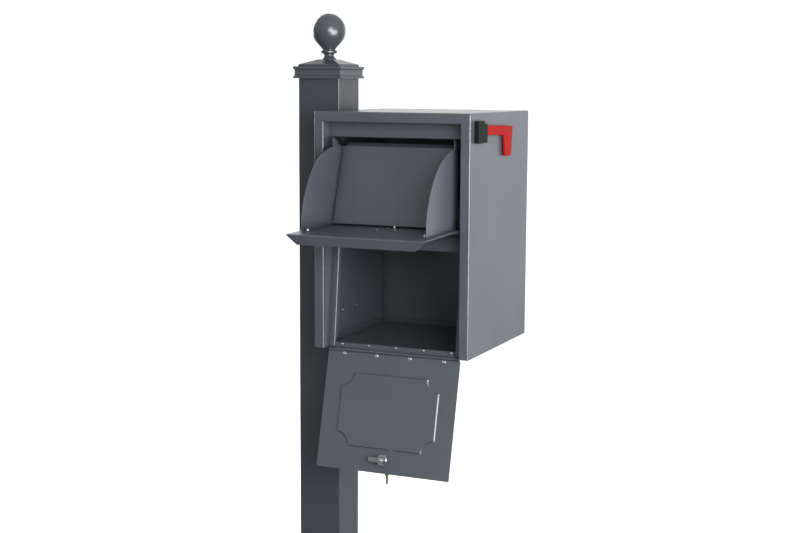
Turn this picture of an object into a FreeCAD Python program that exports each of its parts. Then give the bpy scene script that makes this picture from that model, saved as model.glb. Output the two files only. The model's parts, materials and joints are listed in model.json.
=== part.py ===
"""Side-post curbside mailbox: a locking steel box with a tip-out mail hopper, a hinged retrieval
door, a signal flag and a square post with a ball finial.

Row frame: origin at the centre of the post's foot, on the underside of the base plate. +Z is up,
+X points from the post towards the box, and the doors face -Y. Millimetres.

Bodies that turn are drawn in a frame of their own, with the hinge axis at its origin, and then
placed: the hopper in its open position, the retrieval door hanging, the flag lowered.
"""
import FreeCAD, Part
import Sketcher
import math
import os

doc = FreeCAD.newDocument("side_post_mailbox")

# ---------------------------------------------------------------- driving dimensions

SIZES = {
    # post and foot
    "post_width": 101.6,
    "post_wall": 3.2,
    "post_round": 3.0,
    "foot_side": 203.2,
    "foot_thick": 9.5,
    "anchor_spacing": 158.8,
    "anchor_bore": 14.3,
    # cap and finial
    "cap_rise": 69.5,
    "cap_side": 119.0,
    "cap_flange": 4.4,
    "cap_band": 15.9,
    "cap_rim": 5.9,
    "ball_radius": 38.1,
    # box
    "box_base": 827.0,
    "box_width": 358.0,
    "box_tall": 511.0,
    "box_depth": 362.0,
    "box_lead": 121.7,
    "gauge": 1.6,
    "bend_round": 3.2,
    "inner_bend_round": 2.4,
    "frame_width": 22.0,
    "recess": 34.0,
    "header_drop": 54.0,
    "rear_flange": 14.0,
    # retrieval door and its hinge
    "door_width": 308.4,
    "door_tall": 252.1,
    "door_gauge": 2.0,
    "door_lean": 6.1,
    "door_hang": 14.0,
    "door_hinge_back": 21.5,
    "door_hinge_drop": 3.7,
    "knuckle_radius": 3.2,
    "hinge_length": 304.0,
    "leaf_gauge": 1.0,
    "pin_radius": 1.25,
    "running_gap": 0.05,
    "panel_width": 228.8,
    "panel_tall": 158.0,
    "panel_low": 47.0,
    "scallop_radius": 28.0,
    "emboss": 2.2,
    "jamb_width": 36.4,
    # lock and keys
    "lock_height": 227.5,
    "lock_radius": 9.5,
    "cam_reach": 30.0,
    "key_reach": 25.0,
    "ring_radius": 8.0,
    # hopper
    "hopper_width": 308.0,
    "hopper_depth": 203.0,
    "hopper_tilt": 1.1,
    "hopper_hinge_back": 28.5,
    "hopper_hinge_down": 235.0,
    "tray_offset": 6.0,
    "lip_tall": 22.0,
    "lip_mitre": 24.0,
    "lip_lean": 12.0,
    "cheek_spread": 279.2,
    "cheek_radius": 162.0,
    "cheek_gauge": 1.2,
    "baffle_lean": 19.1,
    "baffle_tall": 171.5,
    "baffle_lead": 23.6,
    "rod_radius": 3.2,
    # flag
    "flag_block_thick": 9.5,
    "flag_block_side": 46.0,
    "flag_block_long": 52.0,
    "flag_gauge": 4.6,
    "flag_arm": 20.8,
    "flag_reach": 189.0,
    "flag_banner_long": 52.5,
    "flag_banner_tall": 65.0,
    "flag_taper": 7.5,
    "flag_droop": 2.0,
}

sheet = doc.addObject("Spreadsheet::Sheet", "Sizes")
for line, (alias, number) in enumerate(SIZES.items(), start=1):
    sheet.set(f"A{line}", alias)
    sheet.set(f"B{line}", str(number))
    sheet.setAlias(f"B{line}", alias)
doc.recompute()


class Size:
    """A number together with the sheet formula that it comes from."""

    def __init__(self, number, formula):
        self.number = number
        self.formula = formula

    def _join(self, other, sign, number):
        return Size(number, f"({self.formula} {sign} {size(other).formula})")

    def __add__(self, other):
        return self._join(other, "+", self.number + size(other).number)

    def __sub__(self, other):
        return self._join(other, "-", self.number - size(other).number)

    def __mul__(self, other):
        return self._join(other, "*", self.number * size(other).number)

    def __truediv__(self, other):
        return self._join(other, "/", self.number / size(other).number)

    def __radd__(self, other):
        return size(other) + self

    def __rsub__(self, other):
        return size(other) - self

    def __rmul__(self, other):
        return size(other) * self

    def __neg__(self):
        return size(0) - self


def size(value):
    """A plain number as a Size; a Size as itself."""
    if isinstance(value, Size):
        return value
    return Size(float(value), f"({float(value)!r})")


def sine(angle):
    return Size(math.sin(math.radians(angle.number)), f"sin({angle.formula})")


def cosine(angle):
    return Size(math.cos(math.radians(angle.number)), f"cos({angle.formula})")


class Sheet:
    """Sheet.box_width and so on: each driving dimension as a Size."""


for alias, number in SIZES.items():
    setattr(Sheet, alias, Size(number, f"Sizes.{alias}"))

# ---------------------------------------------------------------- places worked out from the sizes

gauge = Sheet.gauge
post_half = Sheet.post_width / 2
box_left = post_half
box_right = box_left + Sheet.box_width
box_mid = box_left + Sheet.box_width / 2
box_front = -post_half - Sheet.box_lead
box_back = box_front + Sheet.box_depth
box_floor = Sheet.box_base
box_top = Sheet.box_base + Sheet.box_tall
cap_base = box_top + Sheet.cap_rise
cap_top = cap_base + Sheet.cap_flange + Sheet.cap_band + Sheet.cap_rim
rail_under = box_top - Sheet.frame_width

door_pin_y = box_front + Sheet.door_hinge_back
door_pin_z = box_floor - Sheet.door_hinge_drop
hopper_pin_y = box_front + Sheet.hopper_hinge_back
hopper_pin_z = box_top - Sheet.hopper_hinge_down
flag_pin_y = box_front + 49
flag_pin_z = box_top - 34.7

# A frame is a place in the row frame and a turn about X: base x, y, z and angle.
ROW = (0, 0, 0, 0)
HOPPER = (box_mid, hopper_pin_y, hopper_pin_z, Sheet.hopper_tilt)
DOOR_OPEN = (box_mid, door_pin_y, door_pin_z, 180 - Sheet.door_hang)
DOOR_SHUT = (box_mid, door_pin_y, door_pin_z, -Sheet.door_lean)
FLAG = (box_right, flag_pin_y, flag_pin_z, -Sheet.flag_droop)

# ---------------------------------------------------------------- building blocks

X = FreeCAD.Vector(1, 0, 0)
Y = FreeCAD.Vector(0, 1, 0)
Z = FreeCAD.Vector(0, 0, 1)
nodes = []


def bind(target, **properties):
    """Sets each property to a size, through the sheet's formula. A double underscore is a dot."""
    for name, value in properties.items():
        target.setExpression(name.replace("__", "."), size(value).formula)


def put(target, place, turn_axis=None, turn=0):
    """Places an object, with an optional turn about an axis."""
    if turn_axis is not None:
        target.Placement = FreeCAD.Placement(FreeCAD.Vector(), FreeCAD.Rotation(turn_axis, size(turn).number))
        if isinstance(turn, Size):
            bind(target, Placement__Rotation__Angle=turn * turn_axis.dot(target.Placement.Rotation.Axis))
    bind(target, Placement__Base__x=place[0], Placement__Base__y=place[1], Placement__Base__z=place[2])
    return target


def block(low, high):
    """A box between two corners."""
    box = doc.addObject("Part::Box", "Box")
    length, width, height = (size(b) - size(a) for a, b in zip(low, high))
    bind(box, Length=length, Width=width, Height=height)
    return put(box, low)


TURN_TO = {"+x": (Y, 90), "-x": (Y, -90), "+y": (X, -90), "-y": (X, 90), "+z": (None, 0), "-z": (X, 180)}


def rod(radius, length, start, along="+z"):
    """A cylinder that starts at a point and runs along a signed axis."""
    cylinder = doc.addObject("Part::Cylinder", "Rod")
    bind(cylinder, Radius=radius, Height=length)
    return put(cylinder, start, *TURN_TO[along])


def dome(radius, height, start, along="+z"):
    """A domed head: the cap of a sphere, with its flat side at the start."""
    ball_radius = (radius * radius + height * height) / (2 * height)
    cap = doc.addObject("Part::Sphere", "Dome")
    cap.Radius = ball_radius
    cap.Angle1 = math.degrees(math.acos(radius / ball_radius))
    cap.Angle2 = 90
    axis, turn = TURN_TO[along]
    sunk = ball_radius - height
    shift = {"x": X, "y": Y, "z": Z}[along[1]] * (-sunk if along[0] == "+" else sunk)
    return put(cap, tuple(size(a) + b for a, b in zip(start, shift)), axis, turn)


def hexagon(across_flats, length, start, along="+z"):
    """A hexagonal prism, such as a nut or a bolt head."""
    prism = doc.addObject("Part::Prism", "Hexagon")
    prism.Polygon = 6
    bind(prism, Circumradius=size(across_flats) / math.sqrt(3), Height=length)
    return put(prism, start, *TURN_TO[along])


def fuse(*pieces):
    joined = doc.addObject("Part::MultiFuse", "Fuse")
    joined.Shapes = list(pieces)
    joined.Refine = True
    return joined


def cut(base, *tools):
    """The base less every tool."""
    for tool in tools:
        trimmed = doc.addObject("Part::Cut", "Cut")
        trimmed.Base = base
        trimmed.Tool = tool
        trimmed.Refine = True
        base = trimmed
    return base


def group(*pieces):
    """Separate solids that share one node, such as a set of rivets."""
    gathered = doc.addObject("Part::Compound", "Group")
    gathered.Links = list(pieces)
    return gathered


def rounded(base, radius, chosen, kind="Part::Fillet"):
    """Rounds, or chamfers, the edges for which chosen(edge) is true."""
    doc.recompute()
    edges = [number for number, edge in enumerate(base.Shape.Edges, start=1) if chosen(edge)]
    soft = doc.addObject(kind, "Rounded")
    soft.Base = base
    soft.Edges = [(number, size(radius).number, size(radius).number) for number in edges]
    return soft


def runs_along(edge, axis):
    """Whether an edge is straight and parallel to an axis."""
    if len(edge.Vertexes) != 2 or not isinstance(edge.Curve, Part.Line):
        return False
    return abs(edge.Curve.Direction.dot(axis)) > 0.999


def near(value, target):
    return abs(value - size(target).number) < 0.05


PLANES = {"XY": ("XY_Plane", 1), "XZ": ("XZ_Plane", -1), "YZ": ("YZ_Plane", 1)}


def outline_sketch(body, plane, points, offset=0):
    """A closed sketch whose corners are bound to the sheet, on one of the body's origin planes."""
    role, sign = PLANES[plane]
    support = [feature for feature in body.Origin.OriginFeatures if feature.Role == role][0]
    sketch = body.newObject("Sketcher::SketchObject", "Outline")
    sketch.AttachmentSupport = (support, [""])
    sketch.MapMode = "FlatFace"
    bind(sketch, AttachmentOffset__Base__z=size(offset) * sign)
    corners = [FreeCAD.Vector(size(a).number, size(b).number, 0) for a, b in points]
    for first, second in zip(corners, corners[1:] + corners[:1]):
        sketch.addGeometry(Part.LineSegment(first, second), False)
    for side in range(len(points)):
        sketch.addConstraint(Sketcher.Constraint("Coincident", side, 2, (side + 1) % len(points), 1))
    for side, (across, up) in enumerate(points):
        for kind, value in (("DistanceX", size(across)), ("DistanceY", size(up))):
            place = sketch.addConstraint(Sketcher.Constraint(kind, -1, 1, side, 1, value.number))
            sketch.setExpression(f"Constraints[{place}]", value.formula)
    return sketch


def pressing(plane, points, start, length):
    """A part-design body: an outline padded from start, towards the plane's positive side."""
    body = doc.addObject("PartDesign::Body", "Body")
    sketch = outline_sketch(body, plane, points, start)
    pad = body.newObject("PartDesign::Pad", "Pad")
    pad.Profile = sketch
    pad.Reversed = PLANES[plane][1] < 0
    bind(pad, Length=length)
    body.Tip = pad
    return body


def turning(points, start=(0, 0, 0)):
    """A part-design body: an outline of radius and height, turned about Z."""
    body = doc.addObject("PartDesign::Body", "Body")
    sketch = outline_sketch(body, "XZ", points)
    turned = body.newObject("PartDesign::Revolution", "Revolution")
    turned.Profile = sketch
    turned.ReferenceAxis = (sketch, ["V_Axis"])
    turned.Angle = 360
    body.Tip = turned
    return put(body, start)


def node(name, shape, frame=ROW):
    """Names a finished piece and moves it from its own frame to the row frame."""
    if frame is not ROW:
        shape = put(group(shape), frame[:3], X, frame[3])
    shape.Label = name
    nodes.append(shape)
    return shape


# ---------------------------------------------------------------- post, foot, cap and finial

def base_plate():
    half = Sheet.foot_side / 2
    plate = block((-half, -half, 0), (half, half, Sheet.foot_thick))
    plate = rounded(plate, 12, lambda edge: runs_along(edge, Z))
    reach = Sheet.anchor_spacing / 2
    anchors = [
        rod(Sheet.anchor_bore / 2, Sheet.foot_thick + 2, (reach * a, reach * b, -1))
        for a in (-1, 1) for b in (-1, 1)
    ]
    node("base_plate", cut(plate, *anchors))


BOLT_SPREAD = 36.6
BOLT_INSET = 63.1
BOLT_PLACES = [
    (side * BOLT_SPREAD, height)
    for side in (-1, 1)
    for height in (box_floor + BOLT_INSET, box_top - BOLT_INSET)
]
BOLT_RADIUS = 4.0
RIVET_NUT_RADIUS = 5.6


def post_outline(low, high):
    """The outside of the post tube between two heights, with its rounded corners."""
    outer = block((-post_half, -post_half, low), (post_half, post_half, high))
    return rounded(outer, Sheet.post_round, lambda edge: runs_along(edge, Z))


def foot_weld():
    """Fillet weld between the base plate and the post."""
    leg = 6.0
    low = Sheet.foot_thick
    bead = tapered_square(post_half + leg, post_half, low, low + leg)
    node("foot_weld", cut(bead, post_outline(low - 1, low + leg + 1)))


def post_tube():
    top = cap_top - 4
    outer = post_outline(Sheet.foot_thick, top)
    inner_half = post_half - Sheet.post_wall
    inner = block((-inner_half, -inner_half, Sheet.foot_thick - 1), (inner_half, inner_half, top + 1))
    holes = [rod(RIVET_NUT_RADIUS, 10, (post_half - 8, y, z), "+x") for y, z in BOLT_PLACES]
    node("post_tube", cut(outer, inner, *holes))


def box_bolts():
    """Bolts from inside the box into threaded inserts in the post's wall."""
    wall = box_left + gauge
    washer_thick = 1.6
    bolts = []
    washers = []
    inserts = []
    for y, z in BOLT_PLACES:
        head = dome(5.4, 3.2, (wall + washer_thick, y, z), "+x")
        shank = rod(BOLT_RADIUS, 24, (wall + washer_thick, y, z), "-x")
        bolts.append(fuse(head, shank))
        washers.append(cut(rod(6.6, washer_thick, (wall, y, z), "+x"), rod(4.2, 4, (wall - 1, y, z), "+x")))
        inside = post_half - Sheet.post_wall
        sleeve = rod(RIVET_NUT_RADIUS, 15, (post_half, y, z), "-x")
        bulge = rod(7.4, 4, (inside, y, z), "-x")
        inserts.append(cut(fuse(sleeve, bulge), rod(BOLT_RADIUS, 20, (post_half + 1, y, z), "-x")))
    node("box_bolts", group(*bolts))
    node("bolt_washers", group(*washers))
    node("post_rivet_nuts", group(*inserts))


def tapered_square(low_half, high_half, low, high):
    """A frustum on a square base."""
    body = doc.addObject("Part::Wedge", "Taper")
    bind(
        body, Xmin=-low_half, Xmax=low_half, Zmin=-low_half, Zmax=low_half,
        X2min=-high_half, X2max=high_half, Z2min=-high_half, Z2max=high_half,
        Ymin=0, Ymax=size(high) - low,
    )
    return put(body, (0, 0, low), X, 90)


FINIAL_SEAT = 19.0
FINIAL_FOOT = 15.8
BALL_CENTRE = 63.7


def post_cap():
    """Cast cap: two square flanges round a band, a low hipped roof and a flat seat for the finial."""
    side = Sheet.cap_side / 2
    band = side - 2.6
    flange = Sheet.cap_flange
    lower = block((-side, -side, cap_base), (side, side, cap_base + flange))
    belt = block((-band, -band, cap_base), (band, band, cap_top))
    upper_base = cap_base + flange + Sheet.cap_band
    upper = block((-side, -side, upper_base), (side, side, cap_top))
    coves = [
        tapered_square(side - 0.8, band, cap_base + flange, cap_base + flange + 1.8),
        tapered_square(band, side - 0.8, upper_base - 1.8, upper_base),
    ]
    crown = block((-post_half, -post_half, cap_top), (post_half, post_half, cap_top + 3.6))
    shoulder = tapered_square(post_half, post_half - 2.4, cap_top + 3.6, cap_top + 5.6)
    roof = tapered_square(post_half - 2.4, FINIAL_SEAT, cap_top + 5.6, cap_top + FINIAL_FOOT)
    bore_half = post_half + 0.2
    bore = block((-bore_half, -bore_half, cap_base - 1), (bore_half, bore_half, cap_top - 3))
    stud_hole = rod(4.6, 30, (0, 0, cap_top - 5))
    cap = fuse(lower, belt, upper, crown, shoulder, roof, *coves)
    cap = cut(cap, bore, stud_hole)
    screw_z = cap_base + flange + Sheet.cap_band / 2
    bolt_hole = rod(2.6, 12, (-post_half - 10, 0, screw_z), "+x")
    back_hole = rod(2.6, 12, (0, post_half + 10, screw_z), "-y")
    node("post_cap", cut(cap, bolt_hole, back_hole))
    length = side - 2.6 - post_half
    screws = [
        fuse(rod(2.6, length, (-band, 0, screw_z), "+x"), dome(4.6, 2.2, (-band, 0, screw_z), "-x")),
        fuse(rod(2.6, length, (0, band, screw_z), "-y"), dome(4.6, 2.2, (0, band, screw_z), "+y")),
    ]
    node("cap_screws", group(*screws))


def ball_finial():
    """Turned ball: flared foot, neck, collar, and a cone that meets the ball at a tangent."""
    foot = cap_top + FINIAL_FOOT
    radius = Sheet.ball_radius
    neck_radius = 15.6
    cone_low = 24.0
    drop = BALL_CENTRE - cone_low
    reach = math.hypot(neck_radius, drop)
    angle = math.atan2(neck_radius, drop) + math.acos(Sheet.ball_radius.number / reach)
    touch_radius = radius * math.sin(angle)
    touch_height = BALL_CENTRE - radius * math.cos(angle)
    profile = [
        (0, 0), (17.4, 0), (17.4, 1), (15, 3.4), (12.6, 6), (11.3, 8.6), (11.3, 10.4), (12.6, 12.6),
        (17.4, 14), (18.9, 15.4), (18.9, 18.8), (17.6, 20.2), (14.8, 21.2), (14.4, 22.6),
        (neck_radius, cone_low), (touch_radius, touch_height), (0, touch_height),
    ]
    stem = turning(profile, (0, 0, foot))
    ball = doc.addObject("Part::Sphere", "Ball")
    bind(ball, Radius=radius)
    put(ball, (0, 0, foot + BALL_CENTRE))
    stud_hole = rod(4.2, 19, (0, 0, foot - 1))
    node("ball_finial", cut(fuse(stem, ball), stud_hole))
    node("finial_stud", rod(4.2, 44, (0, 0, foot - 26)))
    nut_top = cap_top - 3
    nut = cut(hexagon(13, 6.5, (0, 0, nut_top), "-z"), rod(4.2, 10, (0, 0, nut_top - 8)))
    node("finial_nut", nut)


# ---------------------------------------------------------------- housing

def housing_wrap():
    """One bent sheet: roof, sides, face frame with its inward returns, and narrow rear flanges."""
    outer = block((box_left, box_front, box_floor), (box_right, box_back, box_top))
    corner = Sheet.bend_round

    def is_outer_bend(edge):
        middle = edge.CenterOfMass
        side = near(middle.x, box_left) or near(middle.x, box_right)
        if near(middle.z, box_floor):
            return False
        along_roof = near(middle.z, box_top) and (side or near(middle.y, box_front))
        upright = side and near(middle.y, box_front)
        return along_roof or upright

    shell = rounded(outer, corner, is_outer_bend)
    inner_left = box_left + gauge
    inner_right = box_right - gauge
    rear_inside = box_back - gauge
    flange = Sheet.rear_flange
    cavity = block(
        (inner_left, box_front + gauge, box_floor - 1),
        (inner_right, rear_inside, box_top - gauge),
    )
    window = block(
        (inner_left + flange, rear_inside - 1, box_floor - 1),
        (inner_right - flange, box_back + 1, box_top - gauge - flange),
    )
    frame_left = box_left + Sheet.frame_width
    frame_right = box_right - Sheet.frame_width
    doorway = block((frame_left, box_front - 1, box_floor - 1), (frame_right, box_front + 3, rail_under))
    shell = cut(shell, cavity, window, doorway)

    lean = Sheet.door_lean
    seam_low = box_front + Sheet.door_hinge_back + 0.5
    seam_rise = Sheet.box_tall - Sheet.hopper_hinge_down - 21
    seam_high = seam_low + seam_rise * sine(lean) / cosine(lean)
    return_low = box_front + gauge / 2
    sides = []
    for start in (frame_left - gauge, frame_right):
        profile = [
            (return_low, box_floor), (seam_low, box_floor), (seam_high, box_floor + seam_rise),
            (seam_high, box_floor + seam_rise + 50), (box_front + Sheet.recess, box_floor + seam_rise + 66),
            (box_front + Sheet.recess, rail_under + gauge), (return_low, rail_under + gauge),
        ]
        sides.append(pressing("YZ", profile, start, gauge))
    over = block(
        (frame_left, return_low, rail_under),
        (frame_right, box_front + Sheet.recess, rail_under + gauge),
    )
    shell = fuse(shell, over, *sides)

    def is_inner_bend(edge):
        middle = edge.CenterOfMass
        if not near(middle.y, box_front):
            return False
        upright = near(middle.x, frame_left) or near(middle.x, frame_right)
        return (upright and runs_along(edge, Z)) or (near(middle.z, rail_under) and runs_along(edge, X))

    shell = rounded(shell, Sheet.inner_bend_round, is_inner_bend)
    pivots = rod(Sheet.rod_radius, Sheet.box_width - 20, (box_left + 10, hopper_pin_y, hopper_pin_z), "+x")
    bolt_holes = [rod(BOLT_RADIUS + 0.3, 4, (box_left - 1, y, z), "+x") for y, z in BOLT_PLACES]
    flag_holes = [rod(2.2, 6, (box_right - 3, y, z), "+x") for y, z in FLAG_SCREW_PLACES]
    rivet_holes = [rod(REAR_RIVET_RADIUS, 6, (x, box_back - 3, z), "+y") for x, z in rear_rivet_places()]
    node("housing_wrap", cut(shell, pivots, *bolt_holes, *flag_holes, *rivet_holes))


REAR_RIVET_RADIUS = 2.4


def rear_rivet_places():
    """Centres of the rivets round the rear panel, as x and z."""
    inset = gauge + Sheet.rear_flange / 2
    low = box_floor + 40
    step = (Sheet.box_tall - 80) / 3
    uprights = [
        (side, low + step * count)
        for side in (box_left + inset, box_right - inset)
        for count in range(4)
    ]
    along = (Sheet.box_width - 120) / 2
    top_row = [(box_left + 60 + along * count, box_top - inset) for count in range(3)]
    return uprights + top_row


def rear_panel():
    inside = box_back - gauge
    low = (box_left + gauge, inside - gauge, box_floor + gauge)
    high = (box_right - gauge, inside, box_top - gauge)
    holes = [rod(REAR_RIVET_RADIUS, 6, (x, inside - 4, z), "+y") for x, z in rear_rivet_places()]
    node("rear_panel", cut(block(low, high), *holes))
    rivets = [
        fuse(
            dome(4.2, 1.5, (x, box_back, z), "+y"),
            rod(REAR_RIVET_RADIUS, gauge * 2 + 1.5, (x, box_back, z), "-y"),
            rod(3.6, 1.5, (x, inside - gauge, z), "-y"),
        )
        for x, z in rear_rivet_places()
    ]
    node("rear_rivets", group(*rivets))


PAN_FLANGE = 14.0
PAN_FRONT_FLANGE = 11.5
pan_front = door_pin_y + Sheet.knuckle_radius


def floor_pan():
    """Tray that closes the bottom, with low flanges all round; the front one carries the hinge."""
    low = (box_left + gauge, pan_front, box_floor)
    high = (box_right - gauge, box_back - gauge * 2, box_floor + PAN_FLANGE)
    hollow_low = (box_left + gauge * 2, pan_front + gauge, box_floor + gauge)
    hollow_high = (box_right - gauge * 2, box_back - gauge * 3, box_floor + PAN_FLANGE + 1)
    front_trim = block(
        (box_left, pan_front - 1, box_floor + PAN_FRONT_FLANGE),
        (box_right, pan_front + gauge + 0.5, box_floor + PAN_FLANGE + 1),
    )
    notch_wide = gauge + Sheet.jamb_width + 0.5
    notches = [
        block((start, pan_front - 1, box_floor + gauge), (start + notch_wide, pan_front + gauge, box_top))
        for start in (box_left, box_right - notch_wide)
    ]
    holes = [
        rod(SMALL_RIVET_RADIUS, 6, (x, pan_front - 2, small_rivet_z), "+y")
        for x in small_rivet_places()
    ]
    weep = [rod(3, 6, (x, box_back - 30, box_floor - 2)) for x in (box_left + 40, box_right - 40)]
    tray = cut(block(low, high), block(hollow_low, hollow_high), front_trim, *notches)
    node("floor_pan", cut(tray, *holes, *weep))


def header_panel():
    """Plate across the top of the doorway, behind the face frame, with a flange under the roof."""
    face = box_front + Sheet.recess
    low = (box_left + gauge, face, box_top - Sheet.header_drop)
    high = (box_right - gauge, face + gauge, box_top - gauge)
    flange_low = (box_left + gauge, face, box_top - gauge * 2)
    flange_high = (box_right - gauge, face + 16, box_top - gauge)
    node("header_panel", fuse(block(low, high), block(flange_low, flange_high)))


def from_shut_door(along, up):
    """Row-frame y and z of a point given in the shut door's frame."""
    lean = Sheet.door_lean
    return (
        door_pin_y + along * cosine(lean) + up * sine(lean),
        door_pin_z - along * sine(lean) + up * cosine(lean),
    )


JAMB_FACE = 0.3
MID_RAIL_LOW = 224.8
MID_RAIL_HIGH = 257.0


def mid_rail():
    """Bent rail between the two doorways, notched for the lock; its ledge sheds rain."""
    near_face = JAMB_FACE + gauge
    far_face = near_face + gauge
    ledge_front = box_front + 36
    ledge_low = box_top - 253.5
    lip_top = box_top - 245.5
    points = [
        from_shut_door(near_face, MID_RAIL_LOW),
        from_shut_door(near_face, MID_RAIL_HIGH),
        (ledge_front, ledge_low),
        (ledge_front, lip_top),
        (ledge_front + gauge, lip_top),
        (ledge_front + gauge, ledge_low + gauge),
        from_shut_door(far_face, MID_RAIL_HIGH + gauge),
        from_shut_door(far_face, MID_RAIL_LOW),
    ]
    reach = Sheet.frame_width + 0.2
    rail = pressing("YZ", points, box_left + reach, Sheet.box_width - reach * 2)
    notch_round = rod(14.5, 14, (0, -4, Sheet.lock_height), "+y")
    notch_slot = block((-14.5, -4, MID_RAIL_LOW - 6), (14.5, 10, Sheet.lock_height))
    notch = put(fuse(notch_round, notch_slot), DOOR_SHUT[:3], X, DOOR_SHUT[3])
    node("mid_rail", cut(rail, notch))


def jamb(name, side):
    """Channel behind the face frame: the retrieval door shuts against its sloping front."""
    inner = Sheet.box_width / 2 - gauge
    edge = inner - Sheet.jamb_width
    foot = 5.6
    leg_foot = 23.0
    back = JAMB_FACE + gauge

    def plate(x_near, x_far, y_low, y_high, z_low, z_high):
        xs = sorted((x_near * side, x_far * side), key=lambda place: place.number)
        return block((xs[0], y_low, z_low), (xs[1], y_high, z_high))

    front = plate(edge, inner, JAMB_FACE, back, foot, MID_RAIL_HIGH)
    leg = plate(edge, edge + gauge, JAMB_FACE, 14, leg_foot, MID_RAIL_LOW - 2)
    wall = plate(inner - gauge, inner, JAMB_FACE, 24, leg_foot, MID_RAIL_HIGH)
    channel = fuse(front, leg, wall)

    def is_bend(edge_line):
        middle = edge_line.CenterOfMass
        outer = abs(abs(middle.x) - edge.number) < 0.05 and near(middle.y, JAMB_FACE)
        return outer and runs_along(edge_line, Z)

    node(name, rounded(channel, Sheet.inner_bend_round, is_bend), DOOR_SHUT)


# ---------------------------------------------------------------- hopper

def cheek(name, side):
    """Quadrant side of the hopper: pivot hole, top ear, outer flange and a tab at its front tip."""
    outer = Sheet.cheek_spread / 2
    thick = Sheet.cheek_gauge
    inner = outer - thick
    low_x = inner if side > 0 else -outer
    span = 180 - 77.8
    quadrant = doc.addObject("Part::Cylinder", "Quadrant")
    bind(quadrant, Radius=Sheet.cheek_radius, Height=thick, Angle=span)
    to_side = FreeCAD.Rotation(X, 77.8) * FreeCAD.Rotation(X, Y, Z, "XYZ") * FreeCAD.Rotation(Y, Z, X, "XYZ")
    quadrant.Placement = FreeCAD.Placement(FreeCAD.Vector(), to_side)
    bind(quadrant, Placement__Base__x=low_x)
    tray = -Sheet.tray_offset
    skirt = block((low_x, -Sheet.cheek_radius + 0.11, tray), (low_x + thick, -4, 0))
    hub = rod(9, thick, (low_x, 0, 0), "+x")
    tray_clear = block((low_x - 1, -14, -12), (low_x + thick + 1, -4.2, tray))
    ear = pressing("YZ", EAR_OUTLINE, low_x, thick)
    flange_edges = sorted((outer * side, (outer + 11) * side), key=lambda place: place.number)
    flange = block((flange_edges[0], CHEEK_NUT_Y + 12, tray), (flange_edges[1], -14, tray + thick))
    tab_edges = sorted((inner * side, (inner - 14) * side), key=lambda place: place.number)
    tab = block((tab_edges[0], CHEEK_NUT_Y - 9, tray), (tab_edges[1], CHEEK_NUT_Y + 9, tray + thick))
    plate = cut(fuse(quadrant, skirt, hub, ear), tray_clear)
    hole = rod(Sheet.rod_radius + Sheet.running_gap, thick + 2, (low_x - 1, 0, 0), "+x")
    nut_hole = rod(CHEEK_BOLT_RADIUS, 5, (CHEEK_NUT_X * side, CHEEK_NUT_Y, tray - 2))
    node(name, cut(fuse(plate, flange, tab), hole, nut_hole), HOPPER)


EAR_OUTLINE = [(-12.5, 150), (-12.5, 179.9), (-4.5, 179.4), (17, 161), (17, 150)]
CHEEK_BOLT_RADIUS = 2.0
CHEEK_NUT_X = 131.3
CHEEK_NUT_Y = -150.0


def cheek_cap_nuts():
    """Bolts up through the tray and the tab of each cheek, finished with domed cap nuts."""
    tab_top = Sheet.cheek_gauge - Sheet.tray_offset
    under_tray = -Sheet.tray_offset - gauge
    nuts = []
    for x in (-CHEEK_NUT_X, CHEEK_NUT_X):
        head = rod(3.8, 1.6, (x, CHEEK_NUT_Y, under_tray), "-z")
        shank = rod(CHEEK_BOLT_RADIUS, gauge + Sheet.cheek_gauge, (x, CHEEK_NUT_Y, under_tray))
        nut = hexagon(7.6, 2.6, (x, CHEEK_NUT_Y, tab_top))
        crown = dome(3.6, 3.5, (x, CHEEK_NUT_Y, tab_top + 2.6))
        nuts.append(fuse(head, shank, nut, crown))
    node("cheek_cap_nuts", group(*nuts), HOPPER)


TRAY_SLOTS = [(-10.5, -84.0, -68.0, 6.5), (-3.5, -58.0, -27.0, 3.2)]
TRAY_STUD = (11.6, -30.5)


def hopper_tray():
    """Hopper door plate; its pull lip is bent down and a little back, and mitred at both ends."""
    half = Sheet.hopper_width / 2
    face = -Sheet.tray_offset
    under = face - gauge
    front = -Sheet.hopper_depth
    lean = Sheet.lip_lean
    lip_end = front + Sheet.lip_tall * sine(lean)
    lip_low = face - Sheet.lip_tall * cosine(lean)
    inside_bend = front + gauge * cosine(lean) + (gauge + gauge * sine(lean)) * sine(lean) / cosine(lean)
    profile = [
        (front, face), (lip_end, lip_low), (lip_end + gauge * cosine(lean), lip_low + gauge * sine(lean)),
        (inside_bend, under), (-4.5, under), (-4.5, face),
    ]

    def is_front_bend(edge):
        middle = edge.CenterOfMass
        return runs_along(edge, X) and near(middle.y, front) and near(middle.z, face)

    plate = rounded(pressing("YZ", profile, -half, half * 2), Sheet.inner_bend_round, is_front_bend)
    foot = half - Sheet.lip_mitre
    mitres = [
        pressing(
            "XZ",
            [
                (half * side, under), ((half + 1) * side, under),
                ((half + 1) * side, lip_low - 1), (foot * side, lip_low - 1),
            ],
            front - 1, 12,
        )
        for side in (-1, 1)
    ]
    slots = [
        fuse(
            block((x - radius, slot_front, face - 4), (x + radius, slot_back, face + 2)),
            rod(radius, 6, (x, slot_front, face - 4)),
            rod(radius, 6, (x, slot_back, face - 4)),
        )
        for x, slot_front, slot_back, radius in TRAY_SLOTS
    ]
    stud_hole = rod(2.5, 6, (TRAY_STUD[0], TRAY_STUD[1], face - 4))
    nut_holes = [rod(CHEEK_BOLT_RADIUS, 6, (x, CHEEK_NUT_Y, face - 4)) for x in (-CHEEK_NUT_X, CHEEK_NUT_X)]
    node("hopper_tray", cut(plate, *mitres, *slots, stud_hole, *nut_holes), HOPPER)


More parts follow.
